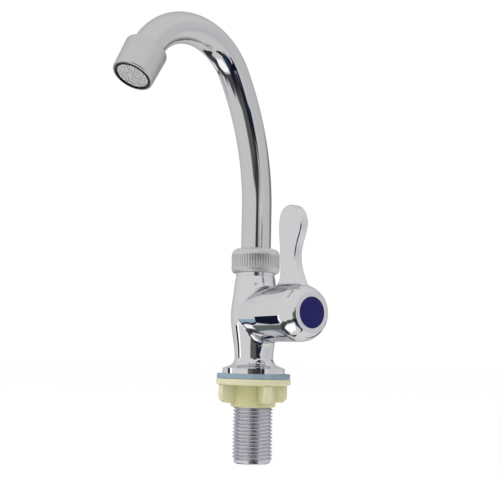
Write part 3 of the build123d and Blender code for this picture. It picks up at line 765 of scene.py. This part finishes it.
@dataclass
class Workshop:
    """The finishes made once, with which pieces are added that stand for CAD nodes."""

    materials: dict[Surface, bpy.types.Material] = field(default_factory=dict)

    def finish(self, surface: Surface) -> bpy.types.Material:
        """The material of a finish, made on first use.

        Args:
            surface: The finish.

        Returns:
            Its material.
        """
        if surface not in self.materials:
            self.materials[surface] = surface.value.make()
        return self.materials[surface]

    def dress(self, node: str, surface: Surface) -> None:
        """Puts a finish on a CAD node that keeps its own mesh.

        Args:
            node: The node's name.
            surface: Its finish.
        """
        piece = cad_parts[node]
        piece.data.materials.clear()
        piece.data.materials.append(self.finish(surface))
        LOG.info("%s: %s", node, surface.value.name)

    def add(
        self, name: str, shape: BMesh, surface: Surface, body: str, slot: str, *nodes: str,
        crease_deg: float = CREASE_DEG,
    ) -> bpy.types.Object:
        """Adds a finished piece that stands for CAD nodes.

        Args:
            name: The piece's name.
            shape: Its mesh in metres.
            surface: Its finish.
            body: The body that carries it.
            slot: Not used.
            nodes: The CAD nodes it replaces.
            crease_deg: Edges that turn by more than this stay sharp.

        Returns:
            The new object.
        """
        piece = finished(name, shape, self.finish(surface), crease_deg)
        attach(piece, body)
        if nodes:
            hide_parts(*nodes)
        LOG.info("%s: %d faces on body %s", name, len(piece.data.polygons), body)
        return piece


@dataclass
class Spout:
    """The bent tube, in millimetres and degrees."""

    radius: float = 8.0
    wall: float = 1.0
    foot_z: float = 64.5
    rise_top_z: float = 90.1
    sweep_radius: float = 141.3
    sweep_deg: float = 30.1
    crook_radius: float = 33.4
    crook_deg: float = 122.2
    tail: float = 6.2
    heading: tuple[float, float, float] = (0.1426, -0.9898, 0.0)
    segments: int = 96
    sweep_steps: int = 40
    crook_steps: int = 72

    @property
    def out(self) -> Vector:
        """The heading, 1 long."""
        return Vector(self.heading).normalized()

    def inward(self, turn: float) -> Vector:
        """The direction to the bend's middle where the tube has turned by an angle in radians."""
        return self.out * math.cos(turn) - UP * math.sin(turn)

    def ahead(self, turn: float) -> Vector:
        """The direction in which the tube runs there."""
        return UP * math.cos(turn) + self.out * math.sin(turn)

    def sweep_middle(self) -> Vector:
        """Middle of the long bend."""
        return UP * self.rise_top_z + self.out * self.sweep_radius

    def crook_middle(self) -> Vector:
        """Middle of the tight bend."""
        back = self.inward(math.radians(self.sweep_deg)) * (self.sweep_radius - self.crook_radius)
        return self.sweep_middle() - back

    def tube(self) -> BMesh:
        """Runs a ring up, round both bends and down, then gives the skin its wall.

        Returns:
            The closed tube.
        """
        shape = bmesh.new()
        across = UP.cross(self.out)
        foot = Matrix.Translation(UP * self.foot_z * MM)
        circle = bmesh.ops.create_circle(shape, segments=self.segments, radius=self.radius * MM, matrix=foot)
        rise = bmesh.ops.extrude_edge_only(shape, edges=edges_between(circle["verts"]))["geom"]
        top = verts_of(rise)
        bmesh.ops.translate(shape, verts=top, vec=UP * (self.rise_top_z - self.foot_z) * MM)
        end = top + edges_between(top)
        for middle, degrees, steps in (
            (self.sweep_middle(), self.sweep_deg, self.sweep_steps),
            (self.crook_middle(), self.crook_deg, self.crook_steps),
        ):
            end = bmesh.ops.spin(
                shape, geom=end, cent=middle * MM, axis=across, angle=math.radians(degrees), steps=steps
            )["geom_last"]
        last = bmesh.ops.extrude_edge_only(shape, edges=edges_of(end))["geom"]
        tail = self.ahead(math.radians(self.sweep_deg + self.crook_deg)) * self.tail * MM
        bmesh.ops.translate(shape, verts=verts_of(last), vec=tail)
        bmesh.ops.remove_doubles(shape, verts=shape.verts, dist=SEAM_MM * MM)
        bmesh.ops.recalc_face_normals(shape, faces=shape.faces)
        bmesh.ops.solidify(shape, geom=shape.faces[:], thickness=self.wall * MM)
        return shape

    def outlet(self) -> Matrix:
        """Where the last bend ends, with Z down the aerator's axis.

        Returns:
            The placement in metres.
        """
        turn = math.radians(self.sweep_deg + self.crook_deg)
        pose = self.ahead(turn).to_track_quat("Z", "Y").to_matrix().to_4x4()
        pose.translation = (self.crook_middle() - self.inward(turn) * self.crook_radius) * MM
        return pose

    def build(self, shop: Workshop) -> None:
        """Adds the tube."""
        shop.add("bent_tube", self.tube(), Surface.TUBE_CHROME, "spout", "polished_chrome", "spout_tube")


@dataclass
class SpoutNut:
    """The knurled ring nut at the foot of the spout, in millimetres."""

    ribs: int = 56
    rib_depth: float = 0.55
    rib_slope: float = 0.18
    band: tuple[float, float] = (58.1, 65.1)
    # Its outline: the outside from the foot to the crown, then the tube's hole and the seat on the neck.
    foot: Corner = Corner(11.95, 55.6, 0.5)
    heel: Corner = Corner(12.9, 57.2, 0.8)
    crown: Corner = Corner(12.9, 68.65, 3.5)
    rim: Corner = Corner(9.0, 68.65, 0.3)
    hole: Corner = Corner(8.08, 68.4)
    seat: Corner = Corner(10.55, 66.0)
    crease_deg: float = 75.0

    def ribbed(self) -> BMesh:
        """Turns the nut, then sinks every second facet of its band for the grooves.

        Returns:
            The closed nut.
        """
        low, high = self.band
        side, bore = self.crown.radius, self.seat.radius
        shape = turned(
            (
                Corner(bore, self.foot.height), self.foot, self.heel, Corner(side, low), Corner(side, high),
                self.crown, self.rim, self.hole, Corner(self.hole.radius, self.seat.height), self.seat,
            ),
            2 * self.ribs,
        )
        step = FULL_TURN / (2 * self.ribs)
        grooves = []
        for face in shape.faces:
            centre = face.calc_center_median()
            facet = int(math.atan2(centre.y, centre.x) % FULL_TURN / step)
            on_band = low * MM < centre.z < high * MM and centre.xy.length > bore * MM
            if on_band and facet % 2 == 0:
                grooves.append(face)
        bmesh.ops.inset_individual(
            shape, faces=grooves, thickness=self.rib_slope * MM, depth=-self.rib_depth * MM,
            use_even_offset=True,
        )
        for face in grooves:
            face.material_index = 1
        close_up(shape)
        return shape

    def build(self, shop: Workshop) -> None:
        """Adds the nut, its grooves duller than its ribs.

        Args:
            shop: The workshop that adds it.
        """
        nut = shop.add(
            "knurled_nut", self.ribbed(), Surface.KNURLED, "base", "satin_chrome", "spout_nut",
            crease_deg=self.crease_deg,
        )
        nut.data.materials.append(shop.finish(Surface.GROOVE))


@dataclass
class Shank:
    """The threaded tail with its plain lead and the spigot in the casting, in millimetres."""

    bore: float = 6.25
    foot_z: float = -43.6
    thread_z: tuple[float, float] = (-41.6, 2.65)
    spigot: tuple[float, float] = (8.25, 11.4)
    lead: float = 9.5
    lead_edge: float = 0.5
    major: float = 10.4775
    # Fourteen turns an inch, and the depth that goes with them in a pipe thread.
    pitch: float = 25.4 / 14
    depth: float = 0.64 * 25.4 / 14
    crest: float = 0.3
    soft: float = 0.09
    steps: int = 72
    # How near the cutting plane a vertex counts as on it.
    cut_mm: float = 1e-5

    def tooth(self) -> tuple[tuple[float, float], ...]:
        """Radius and height of the corners of one tooth, from root to root."""
        root, half, soft = self.major - self.depth, self.pitch / 2, self.soft
        rise = (
            (root, half),
            (root + soft, half - 2 * soft),
            (self.major - soft, self.crest / 2 + soft / 2),
            (self.major, self.crest / 4),
        )
        return (*[(radius, -z) for radius, z in rise], *reversed(rise))

    def coil(self) -> BMesh:
        """Winds one tooth up the shank, past both ends of the thread.

        Returns:
            The open skin of the thread.
        """
        low, high = self.thread_z
        shape = bmesh.new()
        verts = [shape.verts.new((r * MM, 0, (low - self.pitch + z) * MM)) for r, z in self.tooth()]
        for here, there in zip(verts, verts[1:]):
            shape.edges.new((here, there))
        turns = math.ceil((high - low) / self.pitch) + 2
        bmesh.ops.spin(
            shape, geom=shape.verts[:] + shape.edges[:], cent=(0, 0, 0), axis=UP, angle=FULL_TURN * turns,
            steps=self.steps * turns, dvec=UP * self.pitch / self.steps * MM,
        )
        bmesh.ops.remove_doubles(shape, verts=shape.verts, dist=MERGE_MM * MM)
        return shape

    @staticmethod
    def grow(shape: BMesh, rim: list[BMEdge], path: Sequence[tuple[float, float]]) -> list[BMEdge]:
        """Grows a cut rim along a path of radii and heights.

        Args:
            shape: The mesh that has the rim.
            rim: The rim's edges.
            path: Radius and height of each ring, in millimetres, with the first at the rim's own height.

        Returns:
            The last ring's edges.
        """
        ring = verts_of(bmesh.ops.extrude_edge_only(shape, edges=rim)["geom"])
        for vert in ring:
            vert.co.xy = vert.co.xy.normalized() * path[0][0] * MM
        edges = edges_between(ring)
        for (radius, z), (next_radius, next_z) in zip(path, path[1:]):
            ring = verts_of(bmesh.ops.extrude_edge_only(shape, edges=edges)["geom"])
            bmesh.ops.scale(shape, verts=ring, vec=(next_radius / radius, next_radius / radius, 1))
            bmesh.ops.translate(shape, verts=ring, vec=UP * (next_z - z) * MM)
            edges = edges_between(ring)
        return edges

    def threaded(self) -> BMesh:
        """Cuts the coil level and joins it to the lead, the bore and the spigot.

        Returns:
            The closed shank.
        """
        low, high = self.thread_z
        foot, edge = self.foot_z, self.lead_edge
        spigot, top = self.spigot
        shape = self.coil()
        rims = []
        for level, side in ((low, -UP), (high, UP)):
            cut = bmesh.ops.bisect_plane(
                shape, geom=shape.verts[:] + shape.edges[:] + shape.faces[:], dist=self.cut_mm * MM,
                plane_co=UP * level * MM, plane_no=side, clear_outer=True,
            )
            rims.append(edges_of(cut["geom_cut"]))
        paths = (
            ((self.lead, low), (self.lead, foot + edge), (self.lead - edge, foot), (self.bore, foot)),
            ((spigot, high), (spigot, top), (self.bore, top)),
        )
        mouths = []
        for rim, path in zip(rims, paths):
            mouths += self.grow(shape, rim, path)
        bmesh.ops.bridge_loops(shape, edges=mouths)
        bmesh.ops.recalc_face_normals(shape, faces=shape.faces)
        return shape

    def build(self, shop: Workshop) -> None:
        """Adds the shank."""
        shop.add("threaded_shank", self.threaded(), Surface.SHANK, "base", "plated_shank", "inlet_shank")


@dataclass
class DeckFixing:
    """What clamps the tap to the deck: rubber ring, plastic disc and winged nut, in millimetres."""

    bore: float = 10.56
    # Lower and upper outer corner of the rubber ring and of the disc.
    gasket: tuple[Corner, Corner] = (Corner(19.35, 0.0, 0.45), Corner(19.35, 2.65, 0.45))
    disc: tuple[Corner, Corner] = (Corner(19.6, -3.2, 0.8), Corner(19.6, 0.0, 0.6))
    hub: float = 11.8
    hub_foot: float = -14.6
    wing_foot: float = -12.5
    wing_tip: float = 18.9
    wing_width: float = 5.0
    wing_round: float = 3.5
    round_steps: int = 8
    soft: float = 0.6
    soft_steps: int = 3
    # Edges that turn by more are rounded, those that turn by less are cleared, and what counts as level.
    hard_deg: float = 50.0
    flat_deg: float = 1.0
    slack: float = 0.2
    first_wing_deg: float = -12.0
    segments: int = 88

    def wing_feet(self, shape: BMesh, out: Vector) -> list[bmesh.types.BMFace]:
        """Facets of the hub's side from which a wing grows.

        Args:
            shape: The nut.
            out: The wing's direction.

        Returns:
            The facets.
        """
        low, high = self.wing_foot * MM, self.disc[0].height * MM
        side = UP.cross(out)
        feet = []
        for face in shape.faces:
            centre = face.calc_center_median()
            outside = centre.dot(out) > self.bore * MM
            if outside and low < centre.z < high and abs(centre.dot(side)) < self.wing_width / 2 * MM:
                feet.append(face)
        return feet

    def grow_wing(self, shape: BMesh, out: Vector) -> None:
        """Pulls one wing out of the hub, clears its flat seams and rounds its lower corner.

        Args:
            shape: The nut.
            out: The wing's direction.
        """
        feet = self.wing_feet(shape, out)
        wing = verts_of(bmesh.ops.extrude_face_region(shape, geom=feet)["geom"])
        bmesh.ops.delete(shape, geom=[face for face in feet if face.is_valid], context="FACES")
        for vert in wing:
            vert.co += out * (self.wing_tip * MM - vert.co.dot(out))
        bmesh.ops.recalc_face_normals(shape, faces=shape.faces)
        limit = math.radians(self.flat_deg)
        flat = [e for vert in wing for e in vert.link_edges if e.calc_face_angle(math.pi) < limit]
        bmesh.ops.dissolve_edges(shape, edges=list(dict.fromkeys(flat)), use_verts=False)
        wing = [vert for vert in wing if vert.is_valid]
        bmesh.ops.dissolve_verts(shape, verts=[vert for vert in wing if len(vert.link_edges) == 2])
        foot_z = (self.wing_foot + self.slack) * MM
        low = [vert for vert in wing if vert.is_valid and vert.co.z < foot_z]
        bmesh.ops.bevel(
            shape, geom=edges_between(low), offset=self.wing_round * MM, offset_type="OFFSET",
            segments=self.round_steps, profile=0.5, affect="EDGES", material=-1, clamp_overlap=True,
        )

    def outer_edges(self, shape: BMesh) -> list[BMEdge]:
        """The nut's hard edges, without those of its bore and of the hub's top under the disc.

        Args:
            shape: The nut.

        Returns:
            The edges to round.
        """
        limit = math.radians(self.hard_deg)
        below, beyond = (self.disc[0].height - self.slack) * MM, (self.hub + self.slack) * MM
        outside = (self.hub - self.slack) * MM
        chosen = []
        for edge in shape.edges:
            hard = len(edge.link_faces) == 2 and edge.calc_face_angle() > limit
            clear = all(v.co.z < below or v.co.xy.length > beyond for v in edge.verts)
            if hard and clear and all(v.co.xy.length > outside for v in edge.verts):
                chosen.append(edge)
        return chosen

    def winged(self) -> BMesh:
        """Turns the hub and pulls four wings out of its side.

        Returns:
            The closed nut.
        """
        top = self.disc[0].height
        shape = turned(
            (
                Corner(self.bore, self.hub_foot), Corner(self.hub, self.hub_foot, self.soft),
                Corner(self.hub, self.wing_foot), Corner(self.hub, top), Corner(self.bore, top),
            ),
            self.segments,
        )
        for quarter in range(4):
            turn = math.radians(90 * quarter)
            self.grow_wing(shape, Vector((math.cos(turn), math.sin(turn), 0)))
        close_up(shape)
        bmesh.ops.bevel(
            shape, geom=self.outer_edges(shape), offset=self.soft * MM, offset_type="OFFSET",
            segments=self.soft_steps, profile=0.5, affect="EDGES", material=-1, clamp_overlap=True,
        )
        close_up(shape)
        return moved(shape, Matrix.Rotation(math.radians(self.first_wing_deg), 4, "Z"))

    def washer(self, low: Corner, high: Corner) -> BMesh:
        """A closed flat ring round the shank, with the given outer corners."""
        return turned((Corner(self.bore, low.height), low, high, Corner(self.bore, high.height)))

    def build(self, shop: Workshop) -> None:
        """Adds the ring, the disc and the nut.

        Args:
            shop: The workshop that adds them.
        """
        ring, disc = self.washer(*self.gasket), self.washer(*self.disc)
        shop.add("rubber_ring", ring, Surface.GASKET, "base", "grey_gasket", "base_gasket")
        shop.add("clamping_disc", disc, Surface.CREAM, "clamp_washer", "cream_plastic", "clamp_washer")
        shop.add("winged_nut", self.winged(), Surface.CREAM, "backnut", "cream_plastic", "backnut")


@dataclass
class Aerator:
    """The cup at the outlet with its rubber ring, turned about the outlet's axis, in millimetres along it."""

    outlet: Matrix
    neck: Corner = Corner(8.08, -1.6)
    shoulder: Corner = Corner(10.9, 0.4, 0.5)
    waist: Corner = Corner(10.38, 15.0, 1.5)
    mouth: Corner = Corner(10.38, 17.45, 0.85)
    # The lip that is rolled in over the rubber ring, and where it starts on the pocket's wall.
    lip: Corner = Corner(8.87, 17.15)
    lip_soft: float = 0.2
    lip_root: float = 16.85
    pocket: float = 9.4
    ledge: Corner = Corner(8.65, 15.9)
    ledge_top: float = 15.2
    bore: Corner = Corner(9.35, 0.6)
    # Inner and outer radius of the rubber ring and of its nose.
    ring: tuple[float, float] = (8.6, 9.38)
    nose: tuple[float, float] = (8.38, 8.85)
    nose_start: float = 17.12
    nose_soft: float = 0.1
    ring_end: float = 17.75
    gap: float = 0.05
    segments: int = 128

    def cup(self) -> BMesh:
        """Turns the cup, its lip rolled over softly.

        Returns:
            The closed cup.
        """
        return turned(
            (
                self.neck, self.shoulder, self.waist, self.mouth,
                Corner(self.lip.radius, self.mouth.height, self.lip_soft), self.lip,
                Corner(self.pocket, self.lip_root), Corner(self.pocket, self.ledge.height), self.ledge,
                Corner(self.ledge.radius, self.ledge_top), Corner(self.bore.radius, self.ledge_top),
                self.bore, Corner(self.neck.radius, self.bore.height),
            ),
            self.segments,
        )

    def band(self) -> BMesh:
        """Turns the rubber ring, its nose drawn in under the cup's lip.

        Returns:
            The closed ring.
        """
        low = self.ledge.height + self.gap
        inner, outer = self.ring
        nose_in, nose_out = self.nose
        return turned(
            (
                Corner(inner, low), Corner(outer, low), Corner(outer, self.lip_root - self.gap),
                Corner(nose_out, self.lip.height - self.gap), Corner(nose_out, self.ring_end, self.nose_soft),
                Corner(nose_in, self.ring_end, self.nose_soft), Corner(inner, self.nose_start),
            ),
            self.segments,
        )

    def build(self, shop: Workshop) -> None:
        """Adds the cup and the ring.

        Args:
            shop: The workshop that adds them.
        """
        cup, band = moved(self.cup(), self.outlet), moved(self.band(), self.outlet)
        shop.add("outlet_cup", cup, Surface.SATIN, "spout", "satin_chrome", "aerator_housing")
        shop.add("mouth_band", band, Surface.BLACK, "spout", "black_rubber", "mouth_ring")


@dataclass
class Index:
    """The blue disc in the lever's hub: a low dome with a soft rim and a skirt behind, in millimetres."""

    axis_z: float = 33.6
    radius: float = 7.8
    face_x: float = 47.45
    back_x: float = 45.8
    skirt_x: float = 43.9
    skirt: tuple[float, float] = (6.8, 7.7)
    dome: float = 0.25
    # Shares of the radius and of the dome's fall at which it bends, and the bend's rounding.
    dome_bend: tuple[float, float, float] = (0.55, 0.2, 2.0)
    rim_soft: float = 0.4

    def disc(self) -> BMesh:
        """Turns the disc and lays its axis along X.

        Returns:
            The closed disc.
        """
        inner, outer = self.skirt
        across, fall, soft = self.dome_bend
        shape = turned(
            (
                Corner(0, self.face_x), Corner(self.radius * across, self.face_x - self.dome * fall, soft),
                Corner(self.radius, self.face_x - self.dome, self.rim_soft), Corner(self.radius, self.back_x),
                Corner(outer, self.back_x), Corner(outer, self.skirt_x), Corner(inner, self.skirt_x),
                Corner(inner, self.back_x), Corner(0, self.back_x),
            )
        )
        along_x = Matrix.Rotation(math.radians(90), 4, "Y")
        return moved(shape, Matrix.Translation(UP * self.axis_z * MM) @ along_x)

    def build(self, shop: Workshop) -> None:
        """Adds the disc."""
        shop.add("index_disc", self.disc(), Surface.BLUE, "handle", "blue_plastic", "index_cap")


CAD_FINISHES: dict[Surface, tuple[str, ...]] = {
    Surface.CAST_CHROME: ("tap_body", "lever_handle"),
    Surface.SCREEN: ("outlet_screen",),
    Surface.BRASS: ("cartridge_housing", "spindle", "spout_spigot", "outlet_adaptor"),
    Surface.STEEL: ("spindle_circlip", "handle_screw", "aerator_shell", "inlet_strainer"),
    Surface.BLACK: (
        "valve_seat_seal", "housing_o_ring", "spindle_o_rings", "spout_o_rings", "aerator_gasket",
    ),
    Surface.WHITE: ("neck_slip_ring", "spout_retaining_ring", "thrust_washer", "flow_body"),
    Surface.CERAMIC: ("fixed_disc", "moving_disc"),
}


def main() -> None:
    """Builds the studio and the tap."""
    logging.basicConfig(level=logging.INFO, format="%(name)s: %(message)s")
    Studio().build()
    shop = Workshop()
    for surface, nodes in CAD_FINISHES.items():
        for node in nodes:
            shop.dress(node, surface)
    spout = Spout()
    for part in (Shank(), DeckFixing(), SpoutNut(), spout, Aerator(spout.outlet()), Index()):
        part.build(shop)


if __name__ == "__main__":
    main()
